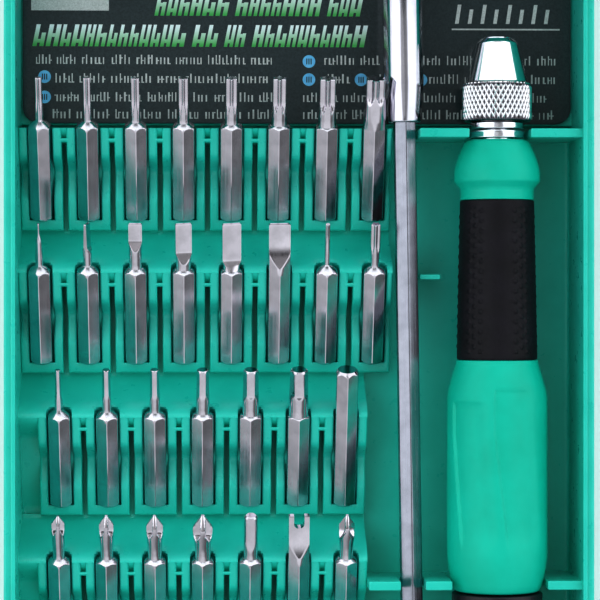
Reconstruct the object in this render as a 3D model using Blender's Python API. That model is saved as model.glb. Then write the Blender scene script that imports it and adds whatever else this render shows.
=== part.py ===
"""Precision screwdriver set: a green case with thirty 4 mm bits, a handle with a collet chuck and an extension.

Lengths are in millimetres here and are scaled to metres as each mesh is made. X runs to the right along a row of
bits, Y runs towards the lid hinge, Z is up, and the origin is the centre of the case's flat underside.
"""

from math import cos, pi, radians, sin

import bmesh
import bpy
from mathutils import Matrix, Vector

MM = 0.001
GAP = 0.3  # clearance between pieces that touch in the real set

# Case tray
TRAY_HALF_X = 54.0
TRAY_HALF_Y = 74.0
WALL = 2.2
LIP = 0.8  # width of the raised inner lip of the rim
LEDGE_Z = 19.2
RIM_Z = 20.0
FLOOR_Z = 2.0
TRAY_CORNER = 4.5
INNER_X = TRAY_HALF_X - WALL
INNER_Y = TRAY_HALF_Y - WALL
CORNER_STEPS = 5

# Crossbars that cradle the tools
BAR_TOP_Z = 18.5
UPPER_BAR_Y = 27.3
LOWER_BAR_Y = -55.8
BAR_SINK = 0.5  # how far an added rib reaches into the floor or a wall

# Printed card on its platform
CARD_FRONT_Y = 29.7
CARD_BACK_Y = 70.5
CARD_TOP_Z = 6.1
CARD_THICK = 0.5

# Bits and their racks
BIT_LENGTH = 28.0
BIT_AF = 4.0  # across the flats of the hexagon
BIT_TILT = radians(25.0)
BIT_PITCH = 8.83
ROW_PITCH = 26.7
ROW_1_Y = 11.9  # lower end of the bits in the row nearest the hinge
BIT_END_Z = 5.5  # height of a bit's axis at its lower end
POCKET_HALF = BIT_AF / 2 + GAP
RAIL = 1.65
THIN_RAIL = 1.05  # the last rail of a long row, which leaves room for the extension
POCKET_DEPTH = BIT_AF / 2 / cos(pi / 6) + GAP
RACK_LENGTH = 18.0
RAIL_RISE = 0.5  # height of the rails above the bits' axes
DIP_DEPTH = 1.6
DIP_HALF = 5.0
DIP_CENTRE = 9.6
FRONT_WALL = 1.8
WEB_START = 15.3
WEB_THICK = 0.8
CUT_END = RACK_LENGTH + 16.0  # where cutters that follow a bit stop, clear of the rack

# Handle, lying along Y with its nose towards the hinge
HANDLE_X = 36.75
TOOL_Z = 13.0
HANDLE_NOSE_Y = 45.6
LATHE_STEPS = 24

# Extension, lying along Y beside the handle, slightly askew
EXTENSION_X = 19.53
EXTENSION_Y = 29.5  # where the shank enters the small end of the socket tube
EXTENSION_SKEW = radians(0.85)
SHANK_LOW_X = 20.7  # where the askew shank crosses the lower crossbar
SHANK_AF = 3.9
SHANK_REACH = 93.5
SHANK_INSET = 7.7
TUBE_LENGTH = 36.5
TUBE_R = 3.65
SOCKET_AF = 4.06
SOCKET_DEPTH = 12.0

# Lid, drawn closed and then opened about its hinge
LID_TOP_Z = 25.5
LID_WALL = 1.2
LID_OPEN = radians(90.0)
HINGE_Y = 77.0
HINGE_Z = 19.35
HINGE_STATIONS = (-34.0, 34.0)
BARREL_R = 2.4
PIN_R = 0.9
LID_KNUCKLE = 8.0
TRAY_KNUCKLE = 5.0


def start_clean():
    for old in list(bpy.data.objects):
        bpy.data.objects.remove(old, do_unlink=True)


def make_material(name, color, roughness, metallic=0.0, alpha=1.0):
    material = bpy.data.materials.new(name)
    material.use_nodes = True
    shader = material.node_tree.nodes["Principled BSDF"]
    shader.inputs["Base Color"].default_value = (*color, 1.0)
    shader.inputs["Roughness"].default_value = roughness
    shader.inputs["Metallic"].default_value = metallic
    shader.inputs["Alpha"].default_value = alpha
    return material


# Meshes


def make_object(name, bm, material, at=(0.0, 0.0, 0.0), turn=None):
    """Close the bmesh's normals, scale it to metres and link it, with its origin at `at` (mm)."""
    bmesh.ops.recalc_face_normals(bm, faces=bm.faces)
    bmesh.ops.scale(bm, vec=(MM, MM, MM), verts=bm.verts)
    mesh = bpy.data.meshes.new(name)
    bm.to_mesh(mesh)
    bm.free()
    mesh.shade_smooth()
    mesh.set_sharp_from_angle(angle=radians(30.0))
    obj = bpy.data.objects.new(name, mesh)
    bpy.context.scene.collection.objects.link(obj)
    matrix = Matrix.Translation(Vector(at) * MM)
    if turn is not None:
        matrix = matrix @ turn
    obj.matrix_world = matrix
    if material is None:
        obj.hide_render = True
        obj.display_type = "WIRE"
    else:
        mesh.materials.append(material)
    return obj


def boolean(target, cutter, operation="DIFFERENCE"):
    modifier = target.modifiers.new(operation.title(), "BOOLEAN")
    modifier.operation = operation
    modifier.solver = "EXACT"
    modifier.object = cutter


def add_loft(bm, rings, cyclic=False):
    """Skin equal rings of points one after another; cap both ends, or join last to first when cyclic."""
    loops = [[bm.verts.new(p) for p in ring] for ring in rings]
    count = len(loops[0])
    pairs = list(zip(loops, loops[1:]))
    if cyclic:
        pairs.append((loops[-1], loops[0]))
    for a, b in pairs:
        for i in range(count):
            j = (i + 1) % count
            bm.faces.new((a[i], a[j], b[j], b[i]))
    if not cyclic:
        bm.faces.new(loops[0])
        bm.faces.new(loops[-1])


def add_box(bm, low, high):
    corners = [(low[0], low[1]), (high[0], low[1]), (high[0], high[1]), (low[0], high[1])]
    add_loft(bm, [[(x, y, z) for x, y in corners] for z in (low[2], high[2])])


def add_side_prism(bm, outline, x_low, x_high):
    """Extrude an outline in the Y-Z plane along X."""
    add_loft(bm, [[(x, y, z) for y, z in outline] for x in (x_low, x_high)])


def add_lathe(bm, profile, steps=LATHE_STEPS, hollow=False):
    """Turn (radius, y) points about the Y axis: a solid from end to end, or a ring when the profile is closed."""
    angles = [2 * pi * k / steps for k in range(steps)]
    rings = [[(r * sin(a), y, r * cos(a)) for a in angles] for r, y in profile]
    add_loft(bm, rings, cyclic=hollow)


def lathe_object(name, profile, material, at, hollow=False, steps=LATHE_STEPS, turn=None):
    bm = bmesh.new()
    add_lathe(bm, profile, steps, hollow)
    return make_object(name, bm, material, at, turn)


def rounded_rect(half_x, half_y, radius, z):
    """Points of a rectangle with round corners, counter-clockwise from the +X side."""
    points = []
    for corner, (sx, sy) in enumerate(((1, 1), (-1, 1), (-1, -1), (1, -1))):
        for k in range(CORNER_STEPS + 1):
            a = pi / 2 * (corner + k / CORNER_STEPS)
            x = sx * (half_x - radius) + radius * cos(a)
            y = sy * (half_y - radius) + radius * sin(a)
            points.append((x, y, z))
    return points


def tray_ring(inset, z):
    """The outline shared by tray and lid, moved inwards by inset, at height z."""
    return rounded_rect(TRAY_HALF_X - inset, TRAY_HALF_Y - inset, TRAY_CORNER - inset, z)


# Case tray


def cradle_bar(bm, x_low, x_high, y, top, thick=1.7):
    """One upright rib that stands on the floor, sunk a little into it."""
    add_box(bm, (x_low, y - thick / 2, FLOOR_Z - BAR_SINK), (x_high, y + thick / 2, top))


def make_tray_additions():
    """Card platform, crossbars and the small rib between the tools, each sunk into the floor or a wall."""
    bm = bmesh.new()
    platform_top = CARD_TOP_Z - CARD_THICK - GAP
    add_box(
        bm,
        (-INNER_X - BAR_SINK, CARD_FRONT_Y - GAP, FLOOR_Z - BAR_SINK),
        (INNER_X + BAR_SINK, INNER_Y + BAR_SINK, platform_top),
    )
    cradle_bar(bm, 22.0, 31.1, UPPER_BAR_Y, BAR_TOP_Z)
    cradle_bar(bm, 42.4, INNER_X + BAR_SINK, UPPER_BAR_Y, BAR_TOP_Z)
    cradle_bar(bm, 13.2, SHANK_LOW_X - 2.5, LOWER_BAR_Y, BAR_TOP_Z)
    cradle_bar(bm, SHANK_LOW_X + 2.5, 27.6, LOWER_BAR_Y, BAR_TOP_Z)
    cradle_bar(bm, 45.9, INNER_X + BAR_SINK, LOWER_BAR_Y, BAR_TOP_Z)
    cradle_bar(bm, 22.4, 26.4, 0.9, TOOL_Z - 1.0, thick=1.0)
    return make_object("tray_additions", bm, None)


def make_cradle_floors():
    """Low walls under the tools, which carry them between the tall bars."""
    bm = bmesh.new()
    seat = TOOL_Z - GAP
    cradle_bar(bm, 31.1, 42.4, UPPER_BAR_Y, seat - 5.1)
    shank_seat = seat - SHANK_AF / 2 / cos(pi / 6) - 0.1
    cradle_bar(bm, SHANK_LOW_X - 2.5, SHANK_LOW_X + 2.5, LOWER_BAR_Y, shank_seat)
    cradle_bar(bm, 27.6, 45.9, LOWER_BAR_Y, seat - 8.35)
    return make_object("cradle_floors", bm, None)


def knuckle_positions():
    """Centre and width of each tray knuckle: one on each side of a lid knuckle."""
    offset = LID_KNUCKLE / 2 + GAP + TRAY_KNUCKLE / 2
    return [(x + side * offset, TRAY_KNUCKLE) for x in HINGE_STATIONS for side in (-1, 1)]


def add_barrel(bm, centre, width, radius, steps=16):
    """A cylinder along X on the hinge axis."""
    angles = [2 * pi * k / steps for k in range(steps)]
    ring = [(HINGE_Y + radius * cos(a), HINGE_Z + radius * sin(a)) for a in angles]
    add_side_prism(bm, ring, centre - width / 2, centre + width / 2)


def make_barrels(name, places):
    bm = bmesh.new()
    for centre, width in places:
        add_barrel(bm, centre, width, BARREL_R)
    return make_object(name, bm, None)


def make_arms(name, places, y_low, z_low, z_high):
    """Straight arms from a wall to each knuckle, a little narrower than the knuckle."""
    bm = bmesh.new()
    for centre, width in places:
        half = width / 2 - 0.2
        add_box(bm, (centre - half, y_low, z_low), (centre + half, HINGE_Y, z_high))
    return make_object(name, bm, None)


def make_bore(name):
    """The holes for both hinge pins."""
    bm = bmesh.new()
    length = LID_KNUCKLE + 2 * (TRAY_KNUCKLE + GAP) + 4.0
    for x in HINGE_STATIONS:
        add_barrel(bm, x, length, PIN_R + GAP)
    return make_object(name, bm, None)


def make_tray(material):
    bm = bmesh.new()
    rings = [
        tray_ring(1.0, 0.0),
        tray_ring(0.0, 1.0),
        tray_ring(0.0, LEDGE_Z),
        tray_ring(WALL - LIP, LEDGE_Z),
        tray_ring(WALL - LIP, RIM_Z),
        tray_ring(WALL, RIM_Z),
        tray_ring(WALL, FLOOR_Z),
    ]
    add_loft(bm, rings)
    tray = make_object("case_tray", bm, material)
    places = knuckle_positions()
    boolean(tray, make_tray_additions(), "UNION")
    boolean(tray, make_cradle_floors(), "UNION")
    boolean(tray, make_arms("tray_arms", places, TRAY_HALF_Y - 0.5, HINGE_Z - 2.2, HINGE_Z - 0.4), "UNION")
    boolean(tray, make_barrels("tray_barrels", places), "UNION")
    boolean(tray, make_bore("tray_bores"))
    catch = bmesh.new()
    add_box(catch, (-4.5, -TRAY_HALF_Y - 1.3, 14.0), (4.5, -TRAY_HALF_Y + 0.5, 15.6))
    boolean(tray, make_object("tray_catch", catch, None), "UNION")


def make_card(material):
    half = INNER_X - GAP
    radius = 3.0
    y_mid = (CARD_FRONT_Y + CARD_BACK_Y) / 2
    y_half = (CARD_BACK_Y - CARD_FRONT_Y) / 2
    bm = bmesh.new()
    rings = []
    for z in (CARD_TOP_Z - CARD_THICK, CARD_TOP_Z):
        rings.append([(x, y + y_mid, z) for x, y, z in rounded_rect(half, y_half, radius, z)])
    add_loft(bm, rings)
    return make_object("printed_card", bm, material)


def make_pins(material):
    length = LID_KNUCKLE + 2 * (TRAY_KNUCKLE + GAP)
    for side, x in zip(("left", "right"), HINGE_STATIONS):
        bm = bmesh.new()
        angles = [2 * pi * k / 16 for k in range(16)]
        ring = [(PIN_R * cos(a), PIN_R * sin(a)) for a in angles]
        add_side_prism(bm, ring, -length / 2, length / 2)
        make_object("hinge_pin_" + side, bm, material, (x, HINGE_Y, HINGE_Z))


# Racks


def on_axis_plane(u, w):
    """(y, z) of a point u along a bit and w above its axis, measured from the bit's lower end."""
    return u * cos(BIT_TILT) - w * sin(BIT_TILT), BIT_END_Z + u * sin(BIT_TILT) + w * cos(BIT_TILT)


def rail_height(u):
    """Height of the rails above the axis: level at both ends, with a finger dip in the middle."""
    t = (u - DIP_CENTRE) / DIP_HALF
    if abs(t) >= 1.0:
        return RAIL_RISE
    return RAIL_RISE - DIP_DEPTH * (1 + cos(pi * t)) / 2


def rack_outline(ramp_foot):
    """Side view of a rack: front wall, dipped rails, stepped back end and the ramp down to the row behind."""
    foot_z = FLOOR_Z + GAP
    front_y = on_axis_plane(-GAP, RAIL_RISE)[0] - FRONT_WALL
    outline = [(front_y, foot_z)]
    dip_steps = 8
    stations = [-GAP - FRONT_WALL / cos(BIT_TILT)]
    stations += [DIP_CENTRE + DIP_HALF * (2 * k / dip_steps - 1) for k in range(dip_steps + 1)]
    stations.append(RACK_LENGTH)
    for u in stations:
        y, z = on_axis_plane(u, rail_height(u))
        outline.append((max(y, front_y), z))
    ramp_y, ramp_z = on_axis_plane(RACK_LENGTH + 0.4, -POCKET_DEPTH)
    back_y = outline[-1][0] + 0.3
    outline.append((back_y, outline[-1][1] - 0.5))
    outline.append((back_y, ramp_z))
    if ramp_foot > 0:
        ramp_steps = 6
        for k in range(1, ramp_steps + 1):
            t = k / ramp_steps
            y = back_y + (ramp_foot - back_y) * t
            z = foot_z + 0.5 + (ramp_z - foot_z - 0.5) * (1 + cos(pi * t)) / 2
            outline.append((y, z))
        outline.append((ramp_foot, foot_z))
    else:
        outline.append((back_y, foot_z))
    return outline


def tilted_channel(bm, centre, half, u_low, u_high):
    """An open-topped channel cutter that follows the bits' tilt."""
    outline = [
        on_axis_plane(u_low, -POCKET_DEPTH),
        on_axis_plane(u_high, -POCKET_DEPTH),
        on_axis_plane(u_high, 9.0),
        on_axis_plane(u_low, 9.0),
    ]
    add_side_prism(bm, outline, centre - half, centre + half)


def make_rack(index, first_x, count, y0, ramp_foot, material):
    """A row of pockets: one stepped block, cut by a channel for each bit and a slot between neighbours."""
    name = "bit_rack_%d" % index
    centres = [first_x + BIT_PITCH * k for k in range(count)]
    x_low = -INNER_X + GAP
    x_high = centres[-1] + POCKET_HALF + (THIN_RAIL if count == 8 else RAIL)
    bm = bmesh.new()
    add_side_prism(bm, rack_outline(ramp_foot), x_low, x_high)
    rack = make_object(name, bm, material, (0.0, y0, 0.0))
    pockets = bmesh.new()
    for x in centres:
        tilted_channel(pockets, x, POCKET_HALF, -GAP, CUT_END)
    boolean(rack, make_object(name + "_pockets", pockets, None, (0.0, y0, 0.0)))
    slots = bmesh.new()
    edge = POCKET_HALF + RAIL
    gaps = [(a + edge, b - edge) for a, b in zip(centres, centres[1:])]
    web_y = WEB_START * cos(BIT_TILT)
    for low, high in gaps:
        add_box(slots, (low, -8.0, FLOOR_Z + 1.0), (high, web_y, 30.0))
        tilted_channel(slots, (low + high) / 2, (high - low) / 2, WEB_START + WEB_THICK, CUT_END)
    if centres[0] - edge > x_low + 1.0:  # the short rows leave a plain sloping floor beside the wall
        low, high = x_low - 1.0, centres[0] - edge
        tilted_channel(slots, (low + high) / 2, (high - low) / 2, -8.0, CUT_END)
    boolean(rack, make_object(name + "_slots", slots, None, (0.0, y0, 0.0)))


# Bits

SHOULDER = 19.6
BIT_STEPS = 12


def disc(radius):
    """A circle: each shape gives the (x, z) point of a section at an angle from the top."""
    return lambda a: (radius * sin(a), radius * cos(a))


def regular(across_flats, sides, flat_up=False):
    """A regular polygon with a corner, or a flat, at the top."""
    step = 2 * pi / sides
    shift = step / 2 if flat_up else 0.0

    def point(a):
        r = across_flats / 2 / cos((a + shift) % step - step / 2)
        return r * sin(a), r * cos(a)

    return point


def lobes(outer, inner, count):
    """A star with soft lobes, one of them at the top."""

    def point(a):
        r = inner + (outer - inner) * (1 + cos(count * a)) / 2
        return r * sin(a), r * cos(a)

    return point


def blade(half_width, half_thick):
    """A rectangle that is wide across X, its corners slightly broken."""

    def point(a):
        x = max(-1.0, min(1.0, 1.9 * sin(a)))
        z = max(-1.0, min(1.0, 1.9 * cos(a)))
        return half_width * x, half_thick * z

    return point


def add_bit(bm, tip):
    """A hexagonal body with a chamfered lower end, then the sections of its tip."""
    body = [(0.0, disc(1.65)), (0.5, regular(BIT_AF, 6)), (SHOULDER - 0.9, regular(BIT_AF, 6))]
    angles = [2 * pi * k / BIT_STEPS for k in range(BIT_STEPS)]
    rings = []
    for u, shape in body + tip:
        points = [shape(a) for a in angles]
        rings.append([(x, u, z) for x, z in points])
    add_loft(bm, rings)


def plain_tip(shape, neck, neck_end, tip_start):
    """A round neck that tapers into a straight tip."""
    return [(SHOULDER, disc(neck)), (neck_end, disc(neck)), (tip_start, shape), (BIT_LENGTH, shape)]


def star_tip(outer):
    neck = min(1.9, max(0.85, outer / 2 + 0.08))
    return plain_tip(lobes(outer / 2, outer * 0.36, 6), neck, SHOULDER + 3.2, SHOULDER + 4.0)


def hex_tip(across):
    if across >= BIT_AF:
        return [(BIT_LENGTH - 0.6, regular(BIT_AF, 6)), (BIT_LENGTH, disc(1.7))]
    neck = min(1.85, max(1.15, across / 2 / cos(pi / 6) + 0.15))
    return plain_tip(regular(across, 6, flat_up=True), neck, SHOULDER + 1.6, SHOULDER + 4.6)


def slot_tip(width):
    half = width / 2
    thin = 0.16 + 0.05 * width
    middle = blade(half, 1.2) if width >= 3.5 else disc(max(half, 0.8))
    return [
        (SHOULDER, disc(1.55)),
        (SHOULDER + 1.2, disc(1.5)),
        (SHOULDER + 3.4, middle),
        (BIT_LENGTH - 0.8, blade(half, thin)),
        (BIT_LENGTH, blade(half, thin)),
    ]


def cross_tip(outer):
    half = outer / 2
    return [
        (SHOULDER, disc(min(half + 0.25, 1.9))),
        (SHOULDER + 2.4, disc(min(half + 0.1, 1.9))),
        (BIT_LENGTH - half * 1.5, lobes(half, half * 0.55, 4)),
        (BIT_LENGTH - 0.1, lobes(0.45, 0.2, 4)),
        (BIT_LENGTH, lobes(0.3, 0.15, 4)),
    ]


def needle_tip(radius):
    return [
        (SHOULDER, disc(0.95)),
        (SHOULDER + 0.6, disc(0.75)),
        (SHOULDER + 4.5, disc(0.6)),
        (SHOULDER + 6.4, disc(radius)),
        (BIT_LENGTH, disc(radius * 0.9)),
    ]


def pin_tip(radius, neck):
    return plain_tip(disc(radius), neck, SHOULDER + 1.0, SHOULDER + 1.6)


def triangle_tip(across):
    return plain_tip(regular(across, 3, flat_up=True), 1.3, SHOULDER + 2.4, SHOULDER + 4.4)


def wing_tip(outer):
    return plain_tip(lobes(outer / 2, outer * 0.22, 3), 1.75, SHOULDER + 3.0, SHOULDER + 5.4)


def fork_tip(width):
    return plain_tip(blade(width / 2, 0.6), width / 2, SHOULDER + 0.6, SHOULDER + 2.6)


STAR_SIZES = ((4, 1.28), (5, 1.42), (6, 1.70), (7, 1.99), (8, 2.31), (10, 2.74), (15, 3.27), (20, 3.86))
SLOT_SIZES = (1.5, 2.5, 3.0, 3.5, 4.0)
HEX_SIZES = (0.9, 1.3, 1.5, 2.0, 2.5, 3.0, 4.0)


def bit_rows():
    """Names and tips of the bits, row by row from the hinge side, left to right."""
    stars = [("bit_star_%02d" % number, star_tip(outer)) for number, outer in STAR_SIZES]
    slots = [("bit_slot_%02d" % round(10 * width), slot_tip(width)) for width in SLOT_SIZES]
    hexes = [("bit_hex_%02d" % round(10 * across), hex_tip(across)) for across in HEX_SIZES]
    needle = [("bit_five_point_08", needle_tip(0.28))]
    pins = [("bit_five_point_10", pin_tip(0.44, 0.8)), ("bit_five_point_12", pin_tip(0.92, 0.8))]
    crosses = [
        ("bit_cross_00", cross_tip(2.4)),
        ("bit_cross_0", cross_tip(2.7)),
        ("bit_cross_1", cross_tip(3.1)),
        ("bit_cross_2", cross_tip(3.7)),
    ]
    others = [
        ("bit_triangle_20", triangle_tip(2.0)),
        ("bit_fork", fork_tip(3.8)),
        ("bit_three_wing_30", wing_tip(3.0)),
    ]
    return [stars, needle + slots + pins, hexes, crosses + others]


ROW_FIRST_X = (-47.85, -47.85, -44.3, -44.3)


def cut_fork(bit, location):
    """The gap between the fork's two prongs."""
    bm = bmesh.new()
    add_box(bm, (-0.95, 25.4, -3.0), (0.95, 30.0, 3.0))
    boolean(bit, make_object("fork_slot", bm, None, location, Matrix.Rotation(BIT_TILT, 4, "X")))


def make_rows(rack_material, bit_material):
    front_wall_y = on_axis_plane(-GAP, RAIL_RISE)[0] - FRONT_WALL
    for row, bits in enumerate(bit_rows()):
        first_x = ROW_FIRST_X[row]
        y0 = ROW_1_Y - ROW_PITCH * row
        ramp_foot = 0.0 if row == 0 else ROW_PITCH + front_wall_y - GAP
        make_rack(row + 1, first_x, len(bits), y0, ramp_foot, rack_material)
        for k, (name, tip) in enumerate(bits):
            bm = bmesh.new()
            add_bit(bm, tip)
            location = (first_x + BIT_PITCH * k, y0, BIT_END_Z)
            bit = make_object(name, bm, bit_material, location, Matrix.Rotation(BIT_TILT, 4, "X"))
            if name.startswith("bit_fork"):
                cut_fork(bit, location)


# Tools


def cut_hex_socket(target, across, depth, at, turn=None):
    """Cut a hexagonal hole along -Y from a mouth at the point `at`."""
    bm = bmesh.new()
    shape = regular(across, 6)
    corners = [shape(pi / 3 * k) for k in range(6)]
    add_loft(bm, [[(x, y, z) for x, z in corners] for y in (1.0, -depth)])
    boolean(target, make_object(target.name + "_hex", bm, None, at, turn))


def make_handle(green, rubber, black, steel, chrome):
    """Each profile is (radius, y) with y = 0 at the nose; every piece keeps a small gap to the next."""
    at = (HANDLE_X, HANDLE_NOSE_Y, TOOL_Z)
    nut = [
        (3.15, 0.0), (3.9, -0.9), (5.75, -8.7), (6.45, -9.1), (6.45, -15.0), (6.0, -15.7),
        (4.5, -15.7), (4.5, -10.0), (3.1, -4.0), (2.8, 0.0),
    ]
    lathe_object("chuck_nut", nut, chrome, at, hollow=True)
    jaws = [
        (2.48, -0.3), (2.78, -4.2), (4.1, -10.2), (4.1, -16.0), (5.05, -16.0), (5.05, -17.4),
        (2.9, -17.4), (2.9, -30.0),
    ]
    collet = lathe_object("collet", jaws, steel, at)
    cut_hex_socket(collet, SOCKET_AF, SOCKET_DEPTH, at)
    ferrule = [(5.05, -17.7), (5.05, -19.1), (3.2, -19.1), (3.2, -17.7)]
    lathe_object("handle_ferrule", ferrule, steel, at, hollow=True)
    body = [
        (3.2, -30.4), (3.2, -19.4), (5.6, -19.4), (6.2, -20.0), (7.1, -22.4), (7.8, -25.0), (7.95, -27.2),
        (7.5, -28.6), (6.8, -29.8), (6.8, -30.3), (5.6, -30.3), (6.0, -60.3), (7.7, -60.3), (8.4, -63.0),
        (9.0, -66.0), (9.3, -69.0), (9.3, -96.5), (9.0, -99.0), (8.4, -101.6), (7.8, -102.9), (1.8, -102.9),
        (1.8, -96.0),
    ]
    lathe_object("handle_body", body, green, at)
    grip = [(6.85, -30.6), (7.45, -60.0), (6.3, -60.0), (5.9, -30.6)]
    lathe_object("handle_grip", grip, rubber, at, hollow=True)
    pin = [(1.5, -96.4), (1.5, -104.2), (2.6, -104.2), (2.6, -105.0)]
    lathe_object("swivel_pin", pin, steel, at, steps=16)
    cap = [
        (2.9, -105.3), (2.9, -103.9), (1.8, -103.9), (1.8, -103.2), (8.4, -103.2), (8.4, -107.4),
        (7.7, -109.2), (6.2, -110.0),
    ]
    lathe_object("swivel_cap", cap, black, at)


def make_extension(steel, chrome):
    """The tool's own Y runs from its shank to the mouth of its socket; y = 0 is the tube's small end."""
    at = (EXTENSION_X, EXTENSION_Y, TOOL_Z)
    turn = Matrix.Rotation(EXTENSION_SKEW, 4, "Z")
    shank_shape = regular(SHANK_AF, 6)
    ends = [
        (-SHANK_REACH, regular(SHANK_AF - 0.9, 6)),
        (-SHANK_REACH + 0.6, shank_shape),
        (SHANK_INSET, shank_shape),
    ]
    bm = bmesh.new()
    add_loft(bm, [[(x, y, z) for x, z in (shape(pi / 3 * k) for k in range(6))] for y, shape in ends])
    make_object("extension_shank", bm, steel, at, turn)
    tube_profile = [
        (2.6, SHANK_INSET + GAP), (2.6, 0.0), (3.0, 0.0), (TUBE_R, 7.0), (TUBE_R, TUBE_LENGTH - 0.5),
        (TUBE_R - 0.4, TUBE_LENGTH), (2.7, TUBE_LENGTH), (2.55, TUBE_LENGTH - 0.5),
    ]
    tube = lathe_object("extension_socket", tube_profile, chrome, at, turn=turn)
    mouth = Matrix.Translation(Vector(at) * MM) @ turn @ Vector((0.0, TUBE_LENGTH * MM, 0.0)) / MM
    cut_hex_socket(tube, SOCKET_AF, SOCKET_DEPTH, mouth, turn)
    magnet_top = TUBE_LENGTH - SOCKET_DEPTH
    pocket = [(2.0, magnet_top - 3.6), (2.0, magnet_top + 1.0)]
    boolean(tube, lathe_object("magnet_pocket", pocket, None, at, steps=16, turn=turn))
    magnet = [(1.7, magnet_top - 3.3), (1.7, magnet_top - GAP)]
    lathe_object("socket_magnet", magnet, steel, at, steps=16, turn=turn)


# Lid


def make_lid(material):
    """The lid is drawn closed over the rim's ledge, about its hinge axis, and then opened."""
    bottom = LEDGE_Z + GAP
    rings = [
        tray_ring(LID_WALL, LID_TOP_Z - LID_WALL),
        tray_ring(LID_WALL, bottom),
        tray_ring(0.0, bottom),
        tray_ring(0.0, LID_TOP_Z - 1.0),
        tray_ring(1.0, LID_TOP_Z),
    ]
    bm = bmesh.new()
    add_loft(bm, rings)
    bmesh.ops.translate(bm, vec=(0.0, -HINGE_Y, -HINGE_Z), verts=bm.verts)
    opened = Matrix.Rotation(-LID_OPEN, 4, "X")
    at = (0.0, HINGE_Y, HINGE_Z)
    lid = make_object("lid", bm, material, at, opened)
    places = [(x, LID_KNUCKLE) for x in HINGE_STATIONS]
    tongue = bmesh.new()
    add_box(tongue, (-8.0, -TRAY_HALF_Y - 1.8, LEDGE_Z + 1.0), (8.0, -TRAY_HALF_Y + 0.6, LEDGE_Z + 4.0))
    plate = bmesh.new()
    add_box(plate, (-8.0, -TRAY_HALF_Y - 1.8, 12.6), (8.0, -TRAY_HALF_Y - 0.4, LEDGE_Z + 2.0))
    window = bmesh.new()
    add_box(window, (-4.9, -TRAY_HALF_Y - 3.0, 13.6), (4.9, -TRAY_HALF_Y + 0.2, 15.95))
    pieces = [
        (make_object("tongue_root", tongue, None), "UNION"),
        (make_object("tongue_plate", plate, None), "UNION"),
        (make_object("tongue_window", window, None), "DIFFERENCE"),
        (make_arms("lid_arms", places, TRAY_HALF_Y - 0.6, HINGE_Z + 0.35, HINGE_Z + 2.3), "UNION"),
        (make_barrels("lid_barrels", places), "UNION"),
        (make_bore("lid_bores"), "DIFFERENCE"),
    ]
    hinge = Matrix.Translation(Vector(at) * MM)
    for cutter, operation in pieces:
        cutter.matrix_world = hinge @ opened @ hinge.inverted() @ cutter.matrix_world
        boolean(lid, cutter, operation)


def main():
    start_clean()
    green = make_material("green_plastic", (0.02, 0.50, 0.36), 0.45)
    card = make_material("card_print", (0.01, 0.015, 0.02), 0.25)
    steel = make_material("bright_steel", (0.55, 0.55, 0.56), 0.28, 1.0)
    chrome = make_material("chrome", (0.75, 0.76, 0.78), 0.1, 1.0)
    rubber = make_material("black_rubber", (0.02, 0.02, 0.025), 0.75)
    black = make_material("black_plastic", (0.015, 0.015, 0.018), 0.4)
    clear = make_material("clear_plastic", (0.85, 0.9, 0.92), 0.08, 0.0, 0.3)
    make_tray(green)
    make_card(card)
    make_pins(steel)
    make_rows(green, steel)
    make_handle(green, rubber, black, steel, chrome)
    make_extension(steel, chrome)
    make_lid(clear)


main()
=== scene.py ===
"""Looks of the precision screwdriver set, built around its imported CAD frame.

Lengths are in millimetres until a mesh is made. X runs to the right along a row of bits, Y towards the
lid hinge and Z up, from the centre of the case's underside.
"""

import random
from functools import partial
from math import cos, pi, radians, sin, sqrt

import bmesh
import bpy
import numpy as np
from mathutils import Matrix, Vector


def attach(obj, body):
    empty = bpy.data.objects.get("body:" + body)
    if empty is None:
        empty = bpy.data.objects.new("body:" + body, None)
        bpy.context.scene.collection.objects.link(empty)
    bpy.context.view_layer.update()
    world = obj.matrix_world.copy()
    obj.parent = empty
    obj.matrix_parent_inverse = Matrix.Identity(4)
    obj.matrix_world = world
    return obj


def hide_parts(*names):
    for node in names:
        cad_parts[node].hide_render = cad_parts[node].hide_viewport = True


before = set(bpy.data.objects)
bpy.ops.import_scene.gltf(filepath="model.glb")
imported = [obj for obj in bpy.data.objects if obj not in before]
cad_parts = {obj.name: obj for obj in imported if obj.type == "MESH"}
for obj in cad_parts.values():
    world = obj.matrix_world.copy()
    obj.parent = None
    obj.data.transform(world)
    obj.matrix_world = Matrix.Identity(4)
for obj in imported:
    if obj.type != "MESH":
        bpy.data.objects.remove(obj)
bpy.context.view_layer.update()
random.seed(31)

MM = 0.001
GAP = 0.3  # between pieces that don't hold each other
SUNK = 1.0  # how far pieces of one moulding reach into each other

# Case
TRAY_HALF_X = 54.0
TRAY_HALF_Y = 74.0
WALL = 2.2
INNER_X = TRAY_HALF_X - WALL
INNER_Y = TRAY_HALF_Y - WALL
TRAY_CORNER = 4.5
LEDGE_Z = 19.2
RIM_Z = 20.0
FLOOR_Z = 2.0
CARD_FRONT_Y = 29.7
CARD_BACK_Y = 70.5
CARD_TOP_Z = 6.1
CARD_THICK = 0.5
TITLE_Y = 44.1
TITLE_PITCH = 5.8
TITLE_HEIGHT = 4.1
WORD_HEIGHT = 1.75
BACK_BAR_Y = 27.3
FRONT_BAR_Y = -55.8
BAR_TOP = 18.5

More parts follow.
